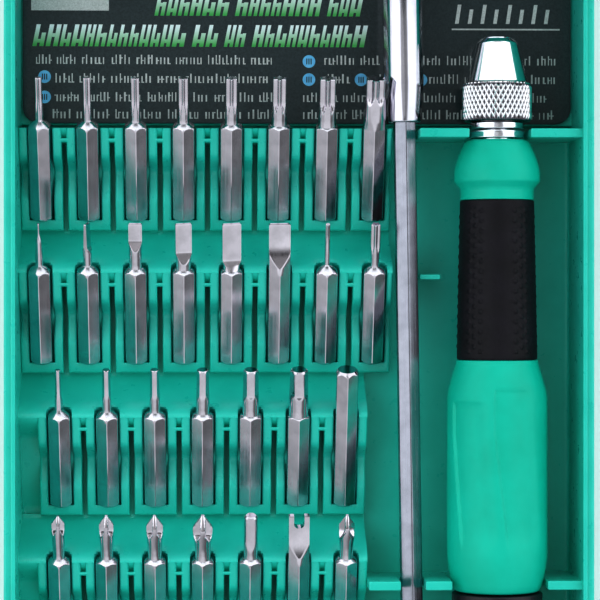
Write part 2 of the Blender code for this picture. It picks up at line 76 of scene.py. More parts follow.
# Bits and racks
BIT_LENGTH = 28.0
BIT_AF = 4.0
BIT_TILT = radians(25.0)
BIT_PITCH = 8.83
ROW_PITCH = 26.7
ROW_1_Y = 11.9
ROW_FIRST_X = (-47.85, -47.85, -44.3, -44.3)
ROW_COUNTS = (8, 8, 7, 7)
BIT_END_Z = 5.5
POCKET_HALF = BIT_AF / 2 + GAP
RAIL = 1.65
THIN_RAIL = 1.05
POCKET_DEPTH = BIT_AF / 2 / cos(pi / 6) + GAP
RACK_LENGTH = 18.0
RAIL_RISE = 0.5
DIP_DEPTH = 2.9
DIP_HALF = 5.0
DIP_CENTRE = 8.3
FRONT_WALL = 1.8
WEB_START = 15.3
WEB_THICK = 0.8
SHOULDER_START = 18.35
SHOULDER = 19.6
CORNER_R = 2.31

# Tools
HANDLE_X = 36.75
TOOL_Z = 13.0
HANDLE_NOSE_Y = 45.6
EXTENSION_X = 19.53
EXTENSION_Y = 29.5
EXTENSION_SKEW = radians(0.85)
SHANK_AF = 3.9
SHANK_CORNER_R = 2.19
SHANK_REACH = 93.5
SHANK_INSET = 7.7
TUBE_LENGTH = 36.5
TUBE_R = 3.65
SOCKET_AF = 4.06
SOCKET_DEPTH = 12.0

# Lid and hinge
LID_TOP_Z = 25.5
LID_WALL = 1.2
LID_OPEN = radians(90.0)
HINGE_Y = 77.0
HINGE_Z = 19.35
HINGE_STATIONS = (-34.0, 34.0)
BARREL_R = 2.4
PIN_R = 0.9
BORE_R = 1.0
LID_KNUCKLE = 8.0
TRAY_KNUCKLE = 5.0
TONGUE_HALF = 8.0
CATCH_HALF = 4.5
CATCH_LOW_Z, CATCH_HIGH_Z = 14.0, 15.6

# Studio, in metres
EYE = (-0.0171, -0.0034, 0.475)
AIM = (-0.0001, -0.0034, 0.02)
LENS = 149.9
SOFTBOX_SIZE = (0.30, 0.9)
# Brightness by the sine of the height above the horizon: bright from low down to a dark hole overhead
SKY = ((-1.0, 0.60), (-0.05, 0.60), (0.0, 0.35), (0.06, 0.80), (0.91, 0.84), (0.955, 0.07), (1.0, 0.05))
SKY_COLOR = (0.95, 0.98, 1.0, 1.0)
EXPOSURE, GAMMA = 0.92, 0.75


# Materials


def add_node(tree, kind, **inputs):
    node = tree.nodes.new(kind)
    for key, value in inputs.items():
        node.inputs[key.replace("_", " ")].default_value = value
    return node


def range_node(tree, source, start, end, low, high):
    """Take start..end to low..high."""
    node = tree.nodes.new("ShaderNodeMapRange")
    for index, value in enumerate((start, end, low, high), 1):
        node.inputs[index].default_value = value
    tree.links.new(source, node.inputs[0])
    return node.outputs[0]


def math_node(tree, operation, *sources):
    """One operation on sockets and plain numbers."""
    node = tree.nodes.new("ShaderNodeMath")
    node.operation = operation
    for index, source in enumerate(sources):
        if isinstance(source, float):
            node.inputs[index].default_value = source
        else:
            tree.links.new(source, node.inputs[index])
    return node.outputs[0]


class Finish:
    """A Principled material with procedural detail, measured in the piece's own coordinates."""

    def __init__(self, name, color, roughness, metallic=0.0, **sockets):
        self.name = name
        self.material = bpy.data.materials.new(name)
        self.material.use_nodes = True
        self.tree = self.material.node_tree
        self.shader = self.tree.nodes["Principled BSDF"]
        self.shader.inputs["Base Color"].default_value = (*color, 1.0)
        self.shader.inputs["Roughness"].default_value = roughness
        self.shader.inputs["Metallic"].default_value = metallic
        for key, value in sockets.items():
            self.shader.inputs[key.replace("_", " ")].default_value = value
        self.where = self.tree.nodes.new("ShaderNodeTexCoord").outputs["Object"]
        self.calculate = partial(math_node, self.tree)

    def link(self, a, b):
        self.tree.links.new(a, b)

    def noise(self, size, stretch=(1.0, 1.0, 1.0), detail=4.0):
        """Cloudy noise whose features are about `size` mm."""
        mapping = add_node(self.tree, "ShaderNodeMapping", Scale=stretch)
        scale = 1.0 / (size * MM)
        texture = add_node(self.tree, "ShaderNodeTexNoise", Scale=scale, Detail=detail, Roughness=0.55)
        self.link(self.where, mapping.inputs["Vector"])
        self.link(mapping.outputs["Vector"], texture.inputs["Vector"])
        return texture.outputs["Fac"]

    def axis(self, name):
        """One of the piece's own coordinates, in metres."""
        split = self.tree.nodes.new("ShaderNodeSeparateXYZ")
        self.link(self.where, split.inputs[0])
        return split.outputs[name]

    def spread(self, fac, low, high, start=0.3, end=0.7):
        return range_node(self.tree, fac, start, end, low, high)

    def source_of(self, socket):
        """What feeds one of the shader's sockets so far."""
        return self.shader.inputs[socket].links[0].from_socket

    def vary_roughness(self, size, low, high, **noise):
        self.link(self.spread(self.noise(size, **noise), low, high), self.shader.inputs["Roughness"])

    def mix_color(self, fac, dark, light=None):
        """Base colour from dark to light, or to the colour so far, by a factor."""
        mix = self.tree.nodes.new("ShaderNodeMix")
        mix.data_type = "RGBA"
        factor, first, second = (mix.inputs[k] for k in (0, 6, 7))
        first.default_value = (*dark, 1.0)
        if light is None:
            self.link(self.source_of("Base Color"), second)
        else:
            second.default_value = (*light, 1.0)
        self.link(fac, factor)
        self.link(mix.outputs[2], self.shader.inputs["Base Color"])
        return self

    def vary_color(self, size, dark, light, start=0.3, end=0.7, **noise):
        self.mix_color(self.spread(self.noise(size, **noise), 0.0, 1.0, start, end), dark, light)

    def bump(self, size, height, **noise):
        """Relief of about `height` mm."""
        node = add_node(self.tree, "ShaderNodeBump", Strength=1.0, Distance=height * MM)
        self.link(self.noise(size, **noise), node.inputs["Height"])
        self.link(node.outputs["Normal"], self.shader.inputs["Normal"])
        return self


def plastic(name, dark, light, low, high, **sockets):
    """Moulded plastic: faint flow clouds, a fine spark-eroded grain and a few polished patches."""
    f = Finish(name, light, (low + high) / 2, **sockets)
    f.vary_color(9.0, dark, light, 0.25, 0.6, detail=3.0)
    f.vary_roughness(2.2, low, high)
    return f.bump(0.22, 0.004, detail=2.0)


DRAWN = (1.0, 0.02, 1.0)  # stretches noise along a piece
RINGED = (0.02, 1.0, 0.02)  # stretches noise around it


def steel(name, dark, light, low, high, grain=DRAWN, relief=0.0012):
    """Bright metal with fine drawn or turned lines and slight stains."""
    f = Finish(name, light, (low + high) / 2, 1.0)
    f.vary_color(3.0, dark, light, 0.3, 0.62)
    f.vary_roughness(0.35, low, high, stretch=grain, detail=3.0)
    return f.bump(0.12, relief, stretch=grain, detail=2.0)


def bit_steel():
    """Drawn along the hexagon, ground finer on the neck and the tip."""
    f = steel("bit_steel", (0.54, 0.52, 0.56), (0.66, 0.63, 0.68), 0.13, 0.22)
    finer = f.spread(f.axis("Y"), 0.0, -0.05, 0.0194, 0.0200)
    f.link(f.calculate("ADD", f.source_of("Roughness"), finer), f.shader.inputs["Roughness"])
    return f


def nut_plated():
    """Bright plating, with painted shade: dark at the bottom of the knurls' pits and on the narrower parts
    behind the nose.
    """
    f = steel("nut_plated", (0.76, 0.76, 0.79), (0.88, 0.88, 0.90), 0.07, 0.14, RINGED, 0.0006)
    across = f.calculate("POWER", f.axis("X"), 2.0)
    upward = f.calculate("POWER", f.axis("Z"), 2.0)
    radius = f.calculate("SQRT", f.calculate("ADD", across, upward))
    # Painted shade: below the ridges' radius and away from the nose the colour goes dark, standing in for shade
    # in the pits.
    raised = f.spread(radius, 0.0, 1.0, 0.00620, 0.00638)
    smooth_part = f.spread(f.axis("Y"), 0.0, 1.0, -0.0092, -0.0090)
    return f.mix_color(f.calculate("MAXIMUM", raised, smooth_part), (0.10, 0.10, 0.12))


def make_finishes():
    rubber = Finish("grip_rubber", (0.008, 0.007, 0.011), 0.6, Specular_IOR_Level=0.3)
    rubber.vary_color(4.0, (0.005, 0.005, 0.008), (0.010, 0.009, 0.015))
    rubber.vary_roughness(0.6, 0.48, 0.62)
    rubber.bump(0.12, 0.006, detail=2.0)
    card = Finish("card_print", (0.002, 0.004, 0.006), 0.16, Specular_IOR_Level=0.4)
    card.vary_color(0.35, (0.030, 0.045, 0.050), (0.048, 0.070, 0.076))
    card.vary_roughness(5.0, 0.12, 0.20)
    card.bump(0.5, 0.002)
    ink = Finish("ink_grey", (0.55, 0.58, 0.58), 0.35)
    ink.vary_color(0.25, (0.40, 0.44, 0.44), (0.62, 0.66, 0.66))
    ink.bump(0.2, 0.002)
    title = Finish("ink_title", (0.8, 0.85, 0.82), 0.3)
    line = title.calculate("MULTIPLY_ADD", title.axis("Y"), 1 / (TITLE_PITCH * MM), -TITLE_Y / TITLE_PITCH)
    fade = title.spread(title.calculate("FRACT", line), 0.0, 1.0, 0.05, 0.62)
    title.mix_color(fade, (0.06, 0.42, 0.10), (0.72, 0.85, 0.86))
    title.bump(0.3, 0.002)
    blue = Finish("ink_blue", (0.16, 0.52, 0.80), 0.3)
    blue.vary_color(1.5, (0.12, 0.44, 0.72), (0.20, 0.60, 0.88))
    blue.bump(0.3, 0.002)
    clear = Finish("lid_clear", (0.93, 0.98, 0.97), 0.06, Transmission_Weight=1.0, IOR=1.49)
    clear.vary_color(12.0, (0.90, 0.96, 0.95), (0.95, 0.985, 0.98))
    clear.vary_roughness(2.5, 0.03, 0.10)
    clear.bump(7.0, 0.01, detail=1.0)
    pale = Finish("floor_pale", (0.92, 0.92, 0.92), 0.6)
    pale.vary_color(60.0, (0.90, 0.90, 0.90), (0.94, 0.94, 0.94))
    pale.bump(1.0, 0.01)
    made = [
        rubber, card, ink, title, blue, clear, pale, bit_steel(), nut_plated(),
        plastic("case_green", (0.015, 0.55, 0.455), (0.03, 0.61, 0.51), 0.26, 0.38),
        plastic("handle_green", (0.0, 0.47, 0.345), (0.0, 0.53, 0.40), 0.44, 0.58, Specular_IOR_Level=0.35),
        plastic("cap_black", (0.008, 0.006, 0.010), (0.016, 0.013, 0.020), 0.30, 0.42),
        steel("shank_steel", (0.26, 0.27, 0.31), (0.33, 0.34, 0.39), 0.18, 0.30),
        steel("tool_steel", (0.60, 0.60, 0.63), (0.76, 0.76, 0.80), 0.12, 0.22),
        steel("collet_steel", (0.72, 0.73, 0.79), (0.86, 0.87, 0.92), 0.13, 0.20, RINGED),
        steel("socket_chrome", (0.56, 0.56, 0.62), (0.62, 0.62, 0.68), 0.08, 0.14, relief=0.0004),
    ]
    return {finish.name: finish.material for finish in made}


MATERIALS = make_finishes()


# Meshes


def new_object(name, data):
    obj = bpy.data.objects.new(name, data)
    bpy.context.scene.collection.objects.link(obj)
    return obj


def make_piece(name, verts, faces, material, at=(0.0, 0.0, 0.0), turn=None, smooth=32.0):
    """A mesh from points in mm, its normals outward, at a place in the case."""
    mesh = bpy.data.meshes.new(name)
    mesh.from_pydata([tuple(float(c) * MM for c in v) for v in verts], [], faces)
    bm = bmesh.new()
    bm.from_mesh(mesh)
    bmesh.ops.recalc_face_normals(bm, faces=bm.faces)
    bm.to_mesh(mesh)
    bm.free()
    if material:
        mesh.materials.append(MATERIALS[material])
    obj = new_object(name, mesh)
    matrix = Matrix.Translation(Vector(at) * MM)
    if turn is not None:
        matrix = matrix @ turn
    obj.matrix_world = matrix
    smooth_by_angle(obj, smooth)
    return obj


def smooth_by_angle(obj, degrees):
    obj.data.shade_smooth()
    obj.data.set_sharp_from_angle(angle=radians(degrees))


def weigh_normals(obj):
    modifier = obj.modifiers.new("Normals", "WEIGHTED_NORMAL")
    modifier.keep_sharp = True
    modifier.weight = 60


def settle(obj, body, slot, *nodes):
    """Tie a finished piece to its body and hide the CAD nodes it stands for; slot is not used."""
    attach(obj, body)
    if nodes:
        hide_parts(*nodes)


def add(name, shape, material, body, *nodes, slot=None, **placing):
    """A piece that needs no more work: made and settled."""
    settle(make_piece(name, *shape, material, **placing), body, slot or material, *nodes)


def join(shapes):
    """Several (points, faces) as one."""
    verts, faces = [], []
    for shape_verts, shape_faces in shapes:
        base = len(verts)
        verts += shape_verts
        faces += [tuple(i + base for i in face) for face in shape_faces]
    return verts, faces


def moved(shape, at, turn=None):
    matrix = Matrix.Translation(Vector(at))
    if turn is not None:
        matrix = matrix @ turn
    return [tuple(matrix @ Vector(v)) for v in shape[0]], shape[1]


def apply_boolean(target, tools, operation="DIFFERENCE", smooth=32.0):
    """Join the tools into one cutter, apply it to the target's mesh and remove it."""
    cutter = make_piece(target.name + "_cutter", *join(tools), None)
    modifier = target.modifiers.new("Cut", "BOOLEAN")
    modifier.operation = operation
    modifier.solver = "EXACT"
    modifier.object = cutter
    bpy.context.view_layer.update()
    graph = bpy.context.evaluated_depsgraph_get()
    mesh = bpy.data.meshes.new_from_object(target.evaluated_get(graph))
    target.modifiers.clear()
    old = target.data
    target.data = mesh
    mesh.name = target.name
    bpy.data.meshes.remove(old)
    bpy.data.objects.remove(cutter, do_unlink=True)
    smooth_by_angle(target, smooth)


def fillet(points, steps=4, closed=False):
    """Round the corners of a polyline whose points are (a, b) or (a, b, radius)."""
    out = []
    for i, point in enumerate(points):
        radius = point[2] if len(point) > 2 else 0.0
        if radius == 0.0 or (not closed and i in (0, len(points) - 1)):
            out.append(tuple(point[:2]))
            continue
        here = Vector(point[:2])
        before = Vector(points[i - 1][:2]) - here
        after = Vector(points[(i + 1) % len(points)][:2]) - here
        reach = min(radius, 0.45 * before.length, 0.45 * after.length)
        a = here + before.normalized() * reach
        b = here + after.normalized() * reach
        for k in range(steps + 1):
            t = k / steps
            out.append(tuple((1 - t) ** 2 * a + 2 * t * (1 - t) * here + t * t * b))
    return out


def loft(rings, cyclic=False, split=None):
    """Skin rings of equal length; split(j, i) may cut a quad along its first or second diagonal."""
    n, m = len(rings[0]), len(rings)
    verts = [point for points in rings for point in points]
    faces = []
    for j in range(m if cyclic else m - 1):
        a, b = j * n, (j + 1) % m * n
        for i in range(n):
            k = (i + 1) % n
            corners = (a + i, a + k, b + k, b + i)
            way = split(j, i) if split else None
            if way is None:
                faces.append(corners)
            else:
                p, q, r, s = corners[way:] + corners[:way]
                faces += [(p, q, r), (p, r, s)]
    if not cyclic:
        faces.append(tuple(range(n)))
        faces.append(tuple(range((m - 1) * n, m * n)))
    return verts, faces


def around(steps):
    return [2 * pi * k / steps for k in range(steps)]


def ring(y, radii, angles):
    """Points about the Y axis."""
    return [(r * sin(a), y, r * cos(a)) for r, a in zip(radii, angles)]


def turned(profile, angles, relief=None):
    """Rings of (radius, distance behind the front end) points, less the relief at each."""
    return [ring(-s, [r - relief(r, s, a) if relief else r for a in angles], angles) for r, s in profile]


def lathe(profile, steps=96, hollow=False):
    return loft(turned(profile, around(steps)), hollow)


def rounded_rect(half_x, half_y, radius, z, y_mid=0.0, steps=9):
    points = []
    for corner, (sx, sy) in enumerate(((1, 1), (-1, 1), (-1, -1), (1, -1))):
        for k in range(steps + 1):
            a = pi / 2 * (corner + k / steps)
            y = sy * (half_y - radius) + radius * sin(a) + y_mid
            points.append((sx * (half_x - radius) + radius * cos(a), y, z))
    return points


def tray_ring(inset, z):
    return rounded_rect(TRAY_HALF_X - inset, TRAY_HALF_Y - inset, max(TRAY_CORNER - inset, 0.5), z)


def soft_box(low, high, radius=0.35, steps=3):
    """A box with every edge rounded, as (points, faces)."""
    bm = bmesh.new()
    bmesh.ops.create_cube(bm, size=1.0)
    for vert in bm.verts:
        vert.co = Vector([lo + (hi - lo) * (c + 0.5) for c, lo, hi in zip(vert.co, low, high)])
    bmesh.ops.bevel(bm, geom=bm.edges[:], offset=radius, segments=steps, profile=0.5, affect="EDGES")
    bm.verts.ensure_lookup_table()
    result = [tuple(v.co) for v in bm.verts], [tuple(v.index for v in f.verts) for f in bm.faces]
    bm.free()
    return result


def barrel(x_low, x_high, radius, steps=40, rounding=0.25):
    """A cylinder along X on the hinge axis, its ends softened."""
    length = x_high - x_low
    ends = fillet([(0.3, 0.0), (radius, 0.0, rounding), (radius, length, rounding), (0.3, length)], 3)
    return loft([
        [(x_low + along, HINGE_Y + r * cos(a), HINGE_Z + r * sin(a)) for a in around(steps)] for r, along in ends
    ])


def ease(t):
    """A soft step from 0 to 1, for one number."""
    t = min(1.0, max(0.0, t))
    return t * t * (3 - 2 * t)


# Case


def bar(x_low, x_high, y, top, thick=1.7, radius=0.25):
    """A crossbar that stands in the case's floor."""
    return soft_box((x_low, y - thick / 2, FLOOR_Z - 1.2), (x_high, y + thick / 2, top), radius)


def knuckles():
    """Middles of the case's knuckles, one on each side of a knuckle of the lid."""
    offset = LID_KNUCKLE / 2 + GAP + TRAY_KNUCKLE / 2
    return [x + side * offset for x in HINGE_STATIONS for side in (-1, 1)]


def make_case():
    profile = fillet([
        (6.0, 0.0), (1.0, 0.0, 0.4), (0.0, 1.0, 0.6), (0.0, LEDGE_Z, 0.5), (1.4, LEDGE_Z, 0.15),
        (1.4, RIM_Z, 0.25), (WALL, RIM_Z, 0.25), (WALL, FLOOR_Z, 0.9), (6.0, FLOOR_Z),
    ], 5)
    case = make_piece("case_shell", *loft([tray_ring(inset, z) for inset, z in profile]), "case_green")
    platform = CARD_TOP_Z - CARD_THICK - GAP
    side = INNER_X + 0.8
    bars = [soft_box((-side, CARD_FRONT_Y - 0.3, FLOOR_Z - SUNK), (side, INNER_Y + 0.8, platform), 0.25)]
    bars += [bar(low, high, BACK_BAR_Y, BAR_TOP) for low, high in ((22.0, 31.1), (42.4, INNER_X + SUNK))]
    posts = ((12.62, 18.5), (23.05, 27.95), (45.5, INNER_X + SUNK))
    bars += [bar(low, high, FRONT_BAR_Y, BAR_TOP) for low, high in posts]
    bars.append(bar(22.4, 26.4, 0.9, TOOL_Z - 1.0, 1.0, 0.3))
    apply_boolean(case, bars, "UNION")
    seat = TOOL_Z - GAP
    arms = [
        soft_box((x - 2.3, TRAY_HALF_Y - SUNK, HINGE_Z - 2.2), (x + 2.3, HINGE_Y, HINGE_Z - 0.4), 0.15)
        for x in knuckles()
    ]
    cradles = [
        bar(30.6, 42.9, BACK_BAR_Y, seat - 5.1, 1.6),
        bar(18.0, 23.5, FRONT_BAR_Y, seat - SHANK_AF / 2 / cos(pi / 6) - 0.1, 1.6),
        bar(27.5, 46.0, FRONT_BAR_Y, seat - 8.35, 1.6),
    ]
    apply_boolean(case, arms + cradles, "UNION")
    front = -TRAY_HALF_Y
    catch = soft_box((-CATCH_HALF, front - 1.3, CATCH_LOW_Z), (CATCH_HALF, front + 0.8, CATCH_HIGH_Z), 0.35)
    half = TRAY_KNUCKLE / 2
    apply_boolean(case, [barrel(x - half, x + half, BARREL_R) for x in knuckles()] + [catch], "UNION")
    half_bore = LID_KNUCKLE / 2 + TRAY_KNUCKLE + GAP + 2.0
    apply_boolean(case, [barrel(x - half_bore, x + half_bore, BORE_R) for x in HINGE_STATIONS])
    weigh_normals(case)
    settle(case, "case", "case_green", "case_tray")


def make_pins():
    length = LID_KNUCKLE + 2 * (TRAY_KNUCKLE + GAP)
    for side, x in zip(("left", "right"), HINGE_STATIONS):
        pin = barrel(x - length / 2, x + length / 2, PIN_R, 32, 0.3)
        add("pin_" + side, pin, "tool_steel", "case", "hinge_pin_" + side)


# Racks: each is a height field on lines that follow its edges, closed by a skirt and a base


def on_axis_plane(u, w):
    """(y, z) of a point u along a bit and w above its axis, measured from the bit's lower end."""
    return u * cos(BIT_TILT) - w * sin(BIT_TILT), BIT_END_Z + u * sin(BIT_TILT) + w * cos(BIT_TILT)


def rail_height(u):
    """Height of a rail's top above the bits' axes: level but for the finger dip."""
    t = (u - DIP_CENTRE) / DIP_HALF
    return RAIL_RISE if abs(t) >= 1.0 else RAIL_RISE - DIP_DEPTH * (1 + cos(pi * t)) / 2


FRONT_Y = on_axis_plane(-GAP, RAIL_RISE)[0] - FRONT_WALL
POCKET_START_Y = on_axis_plane(-GAP, 0.0)[0]
RAIL_BACK_Y = on_axis_plane(RACK_LENGTH, RAIL_RISE)[0]
BLOCK_BACK_Y = RAIL_BACK_Y + 0.3
WEB_Y = WEB_START * cos(BIT_TILT)
WEB_BACK_Y = on_axis_plane(WEB_START + WEB_THICK, 0.0)[0]
RAMP_FOOT_Y = ROW_PITCH + FRONT_Y + 0.1
RACK_BASE_Z = FLOOR_Z - 0.1
RAMP_FOOT_Z = FLOOR_Z + GAP + 0.5
EDGE_R = 0.42
CREASE = 0.02


def tilted_plane(y, w):
    """Height over y of the plane that lies w above the bits' axes."""
    return BIT_END_Z + y * sin(BIT_TILT) / cos(BIT_TILT) + w / cos(BIT_TILT)


def smooth_step(t):
    """A soft step from 0 to 1, for arrays."""
    t = np.clip(t, 0.0, 1.0)
    return t * t * (3 - 2 * t)


def edge_lines(low, high, steps=5):
    """Lines across a rib: close together where its edges are rounded."""
    inner = [EDGE_R * (1 - cos(pi / 2 * k / steps)) for k in range(steps + 1)]
    radius = min(1.0, (high - low) / 2 / EDGE_R)
    lines = [low - CREASE] + [low + d * radius for d in inner]
    return lines + [high - d * radius for d in reversed(inner)] + [high + CREASE]


def rib_depth(x, y, rib):
    """How far inside a rib (x_low, x_high, y_low, y_high) a point is; negative outside."""
    return np.minimum(np.minimum(x - rib[0], rib[1] - x), np.minimum(y - rib[2], rib[3] - y))


def rack_lines(row):
    """X lines, ribs and bit centres of a row."""
    count = ROW_COUNTS[row]
    centres = [ROW_FIRST_X[row] + BIT_PITCH * k for k in range(count)]
    x_low = -INNER_X - 0.15  # sunk into the wall, as one moulding
    last = THIN_RAIL if count == 8 else RAIL
    x_high = centres[-1] + POCKET_HALF + last
    ribs, xs = [], [x_low, x_high]
    for k, centre in enumerate(centres):
        outer_low = max(centre - POCKET_HALF - RAIL, -INNER_X)
        outer_high = centre + POCKET_HALF + (last if k == count - 1 else RAIL)
        rails = ((outer_low, centre - POCKET_HALF), (centre + POCKET_HALF, outer_high))
        for low, high in rails:
            ribs.append((low, high, FRONT_Y, BLOCK_BACK_Y + 1.0))
            xs += edge_lines(low, high)
        ribs.append((outer_low, outer_high, FRONT_Y, POCKET_START_Y))
        xs += [centre + POCKET_HALF * (t / 8 - 1) for t in range(1, 16)]
        if k < count - 1:
            start = centre + POCKET_HALF + RAIL
            ribs.append((start - 0.8, start + BIT_PITCH - 2 * (POCKET_HALF + RAIL) + 0.8, WEB_Y, WEB_BACK_Y))
    xs = sorted({round(x, 3) for x in xs if x_low <= x <= x_high})
    return xs, ribs, centres


def make_rack(row):
    xs, ribs, centres = rack_lines(row)
    stations = np.linspace(-4.0, RACK_LENGTH + 3.0, 300)
    rail_y, rail_z = np.array([on_axis_plane(u, rail_height(u)) for u in stations]).T
    ys = edge_lines(FRONT_Y, POCKET_START_Y) + edge_lines(WEB_Y, WEB_BACK_Y, 4)
    ys += [BLOCK_BACK_Y - d for d in (CREASE, 0.6, 1.2)]
    ys += list(np.linspace(POCKET_START_Y + 0.5, WEB_Y - 0.5, 30))
    end = RAMP_FOOT_Y if row > 0 else BLOCK_BACK_Y
    if row > 0:
        ys += list(np.linspace(BLOCK_BACK_Y, RAMP_FOOT_Y, 22))
    ys = np.array(sorted({round(y, 3) for y in ys if FRONT_Y <= y <= end} | {round(end, 3)}))
    x, y = np.meshgrid(np.array(xs), ys)
    nearest = np.min([np.abs(x - c) for c in centres], axis=0)
    beside = (nearest > POCKET_HALF + RAIL) & (x < centres[-1])
    between = beside & (x > centres[0])
    low = tilted_plane(y, -POCKET_DEPTH)
    left_gap = (beside & ~between, 4.0, POCKET_DEPTH + RAIL_RISE)
    web_recess = (between, BLOCK_BACK_Y - WEB_BACK_Y, 1.5)
    for zone, length, depth in (left_gap, web_recess):
        sunk = tilted_plane(y, RAIL_RISE - depth * smooth_step((BLOCK_BACK_Y - y) / length))
        low = np.where(zone, sunk, low)
    low = np.where(between & (y < (WEB_Y + WEB_BACK_Y) / 2), FLOOR_Z + 1.0, low)
    ramp_top = tilted_plane(BLOCK_BACK_Y, RAIL_RISE)
    t = np.clip((y - BLOCK_BACK_Y) / (RAMP_FOOT_Y - BLOCK_BACK_Y), 0.0, 1.0)
    ramp = RAMP_FOOT_Z + (ramp_top - RAMP_FOOT_Z) * (1 + np.cos(pi * t)) / 2
    end_y = BLOCK_BACK_Y + 2.8 - 1.3 * (nearest / POCKET_HALF) ** 2
    groove = smooth_step((POCKET_HALF + 0.1 - nearest) / 0.3) * smooth_step((end_y - y) / 1.2)
    ramp -= groove * np.maximum(0.0, ramp - tilted_plane(y, -POCKET_DEPTH))
    low = np.where(y > BLOCK_BACK_Y - 0.01, ramp, np.clip(low, FLOOR_Z + 0.02, ramp_top))
    depth = np.max([rib_depth(x, y, rib) for rib in ribs], axis=0)
    inset = np.clip(EDGE_R - depth, 0.0, EDGE_R)
    drop = EDGE_R - np.sqrt(np.maximum(EDGE_R * EDGE_R - inset * inset, 0.0))
    top = np.interp(y, rail_y, rail_z) - drop
    z = np.where((depth > -1e-6) & (y < BLOCK_BACK_Y - 0.01), np.maximum(top, low), low)
    verts = np.stack([x.ravel(), y.ravel() + ROW_1_Y - ROW_PITCH * row, z.ravel()], axis=1).tolist()
    nx, ny = len(xs), len(ys)
    faces = [
        (j * nx + i, j * nx + i + 1, (j + 1) * nx + i + 1, (j + 1) * nx + i)
        for j in range(ny - 1) for i in range(nx - 1)
    ]
    border = list(range(nx)) + [j * nx + nx - 1 for j in range(1, ny)]
    border += [(ny - 1) * nx + i for i in range(nx - 2, -1, -1)] + [j * nx for j in range(ny - 2, 0, -1)]
    base = len(verts)
    verts += [(verts[i][0], verts[i][1], RACK_BASE_Z) for i in border]
    for k in range(len(border)):
        n = (k + 1) % len(border)
        faces.append((border[k], border[n], base + n, base + k))
    faces.append(tuple(base + k for k in range(len(border))))
    name = "%d" % (row + 1)
    add("rack_moulding_" + name, (verts, faces), "case_green", "case", "bit_rack_" + name, smooth=38.0)


# Card and its print


def plate(points, z_low, z_high):
    return loft([[(x, y, z_low) for x, y in points], [(x, y, z_high) for x, y in points]])


PRINT_Z = CARD_TOP_Z + 0.005
PRINT_THICK = 0.02


def printed(points, level=0):
    """A flat shape of ink; level 1 is printed over level 0."""
    return plate(points, PRINT_Z + level * PRINT_THICK, PRINT_Z + (level + 1) * PRINT_THICK)


def strip(x, y, width, height, slant=0.0, level=0):
    """A printed bar whose lower left corner is at (x, y)."""
    shift = slant * height
    return printed([(x, y), (x + width, y), (x + width + shift, y + height), (x + shift, y + height)], level)


def printed_words(x_low, x_high, y, height=WORD_HEIGHT):
    """A line of fine upright strokes in groups, like small print seen from afar."""
    shapes = []
    x = x_low
    while x < x_high - 1.0:
        word_end = min(x_high, x + random.uniform(2.6, 8.5))
        while x < word_end:
            width = random.uniform(0.18, 0.34)
            shapes.append(strip(x, y, width, height * random.choice((1.0, 0.72, 0.72))))
            if random.random() < 0.45:
                shapes.append(strip(x + width + 0.01, y + height * random.choice((0.0, 0.33, 0.6)), 0.27, 0.2))
            x += width + random.uniform(0.30, 0.62)
        x += 0.8
    return shapes


def printed_marks(x_low, x_high, y):
    """A line of large slanted marks: pairs of stems with a tie between them."""
    height, slant = TITLE_HEIGHT, 0.2
    shapes = []
    x = x_low
    while x < x_high:
        width = random.uniform(1.5, 2.3)
        stem = width * 0.38
        shapes.append(strip(x, y, stem, height, slant))
        shapes.append(strip(x + width - stem, y, stem, height * random.choice((1.0, 0.62)), slant))
        tie = height * random.choice((0.16, 0.42))
        inside = x + slant * tie + stem + 0.01
        shapes.append(strip(inside, y + tie, width - 2 * stem - 0.02, height * 0.17, slant))
        x += width + (1.5 if random.random() < 0.14 else 0.38)
    return shapes


def clear_of(spots, shapes):
    """The strokes that keep off the round icons."""
    kept = []
    for shape in shapes:
        x, y, _ = shape[0][0]
        if all(abs(x + 0.3 - at_x) > 1.8 or abs(y + 0.7 - at_y) > 2.0 for at_x, at_y in spots):
            kept.append(shape)
    return kept


def round_icon(x, y, radius):
    return printed([(x + radius * cos(a), y + radius * sin(a)) for a in around(32)])


def make_card():
    y_mid, y_half = (CARD_FRONT_Y + CARD_BACK_Y) / 2, (CARD_BACK_Y - CARD_FRONT_Y) / 2
    low, high = CARD_TOP_Z - CARD_THICK, CARD_TOP_Z
    profile = fillet([(0.6, low), (0.0, low, 0.08), (0.0, high, 0.08), (0.6, high)], 2)
    rings = [rounded_rect(INNER_X - GAP - inset, y_half - inset, 3.0 - inset, z, y_mid) for inset, z in profile]
    add("card_sheet", loft(rings), "card_print", "case", "printed_card")
    words = []
    lines = ((40.8, -49.0, 5.0), (37.3, -45.9, 5.0), (33.8, -45.9, 1.0), (30.6, -45.9, 1.0))
    for y, left_start, right_start in lines:
        words += printed_words(left_start, -4.6, y) + printed_words(right_start, 48.4, y)
    words += printed_words(10.0, 46.0, 64.2, 1.2)
    spots = ((2.1, 41.4), (2.1, 38.0), (11.9, 38.0), (23.2, 38.0), (-47.4, 38.4), (-47.4, 34.6))
    title = printed_marks(-49.7, 12.0, TITLE_Y) + printed_marks(-26.9, 12.0, TITLE_Y + TITLE_PITCH)
    badge = [strip(29.0, 47.4, 20.4, 0.3), strip(-49.9, 50.8, 14.5, 4.6), strip(-50.0, 58.6, 100.0, 0.4)]
    badge += [strip(29.6 + 2.4 * k, 48.6, 0.7, 3.6 - 0.9 * (k % 2), 0.15) for k in range(8)]
    icons = [round_icon(x, y, 1.2) for x, y in spots] + [strip(-48.5, 61.0, 97.0, 2.2)]
    glyphs = [strip(x - 0.5 + 0.4 * k, y - 0.55, 0.2, 1.1, level=1) for x, y in spots for k in range(3)]
    for name, shapes, material in (
        ("card_words", clear_of(spots, words), "ink_grey"), ("card_title", title, "ink_title"),
        ("card_badge", badge, "ink_grey"), ("card_icons", icons, "ink_blue"),
        ("card_glyphs", glyphs, "card_print"),
    ):
        add(name, join(shapes), material, "case", slot="card_print")


# Bits

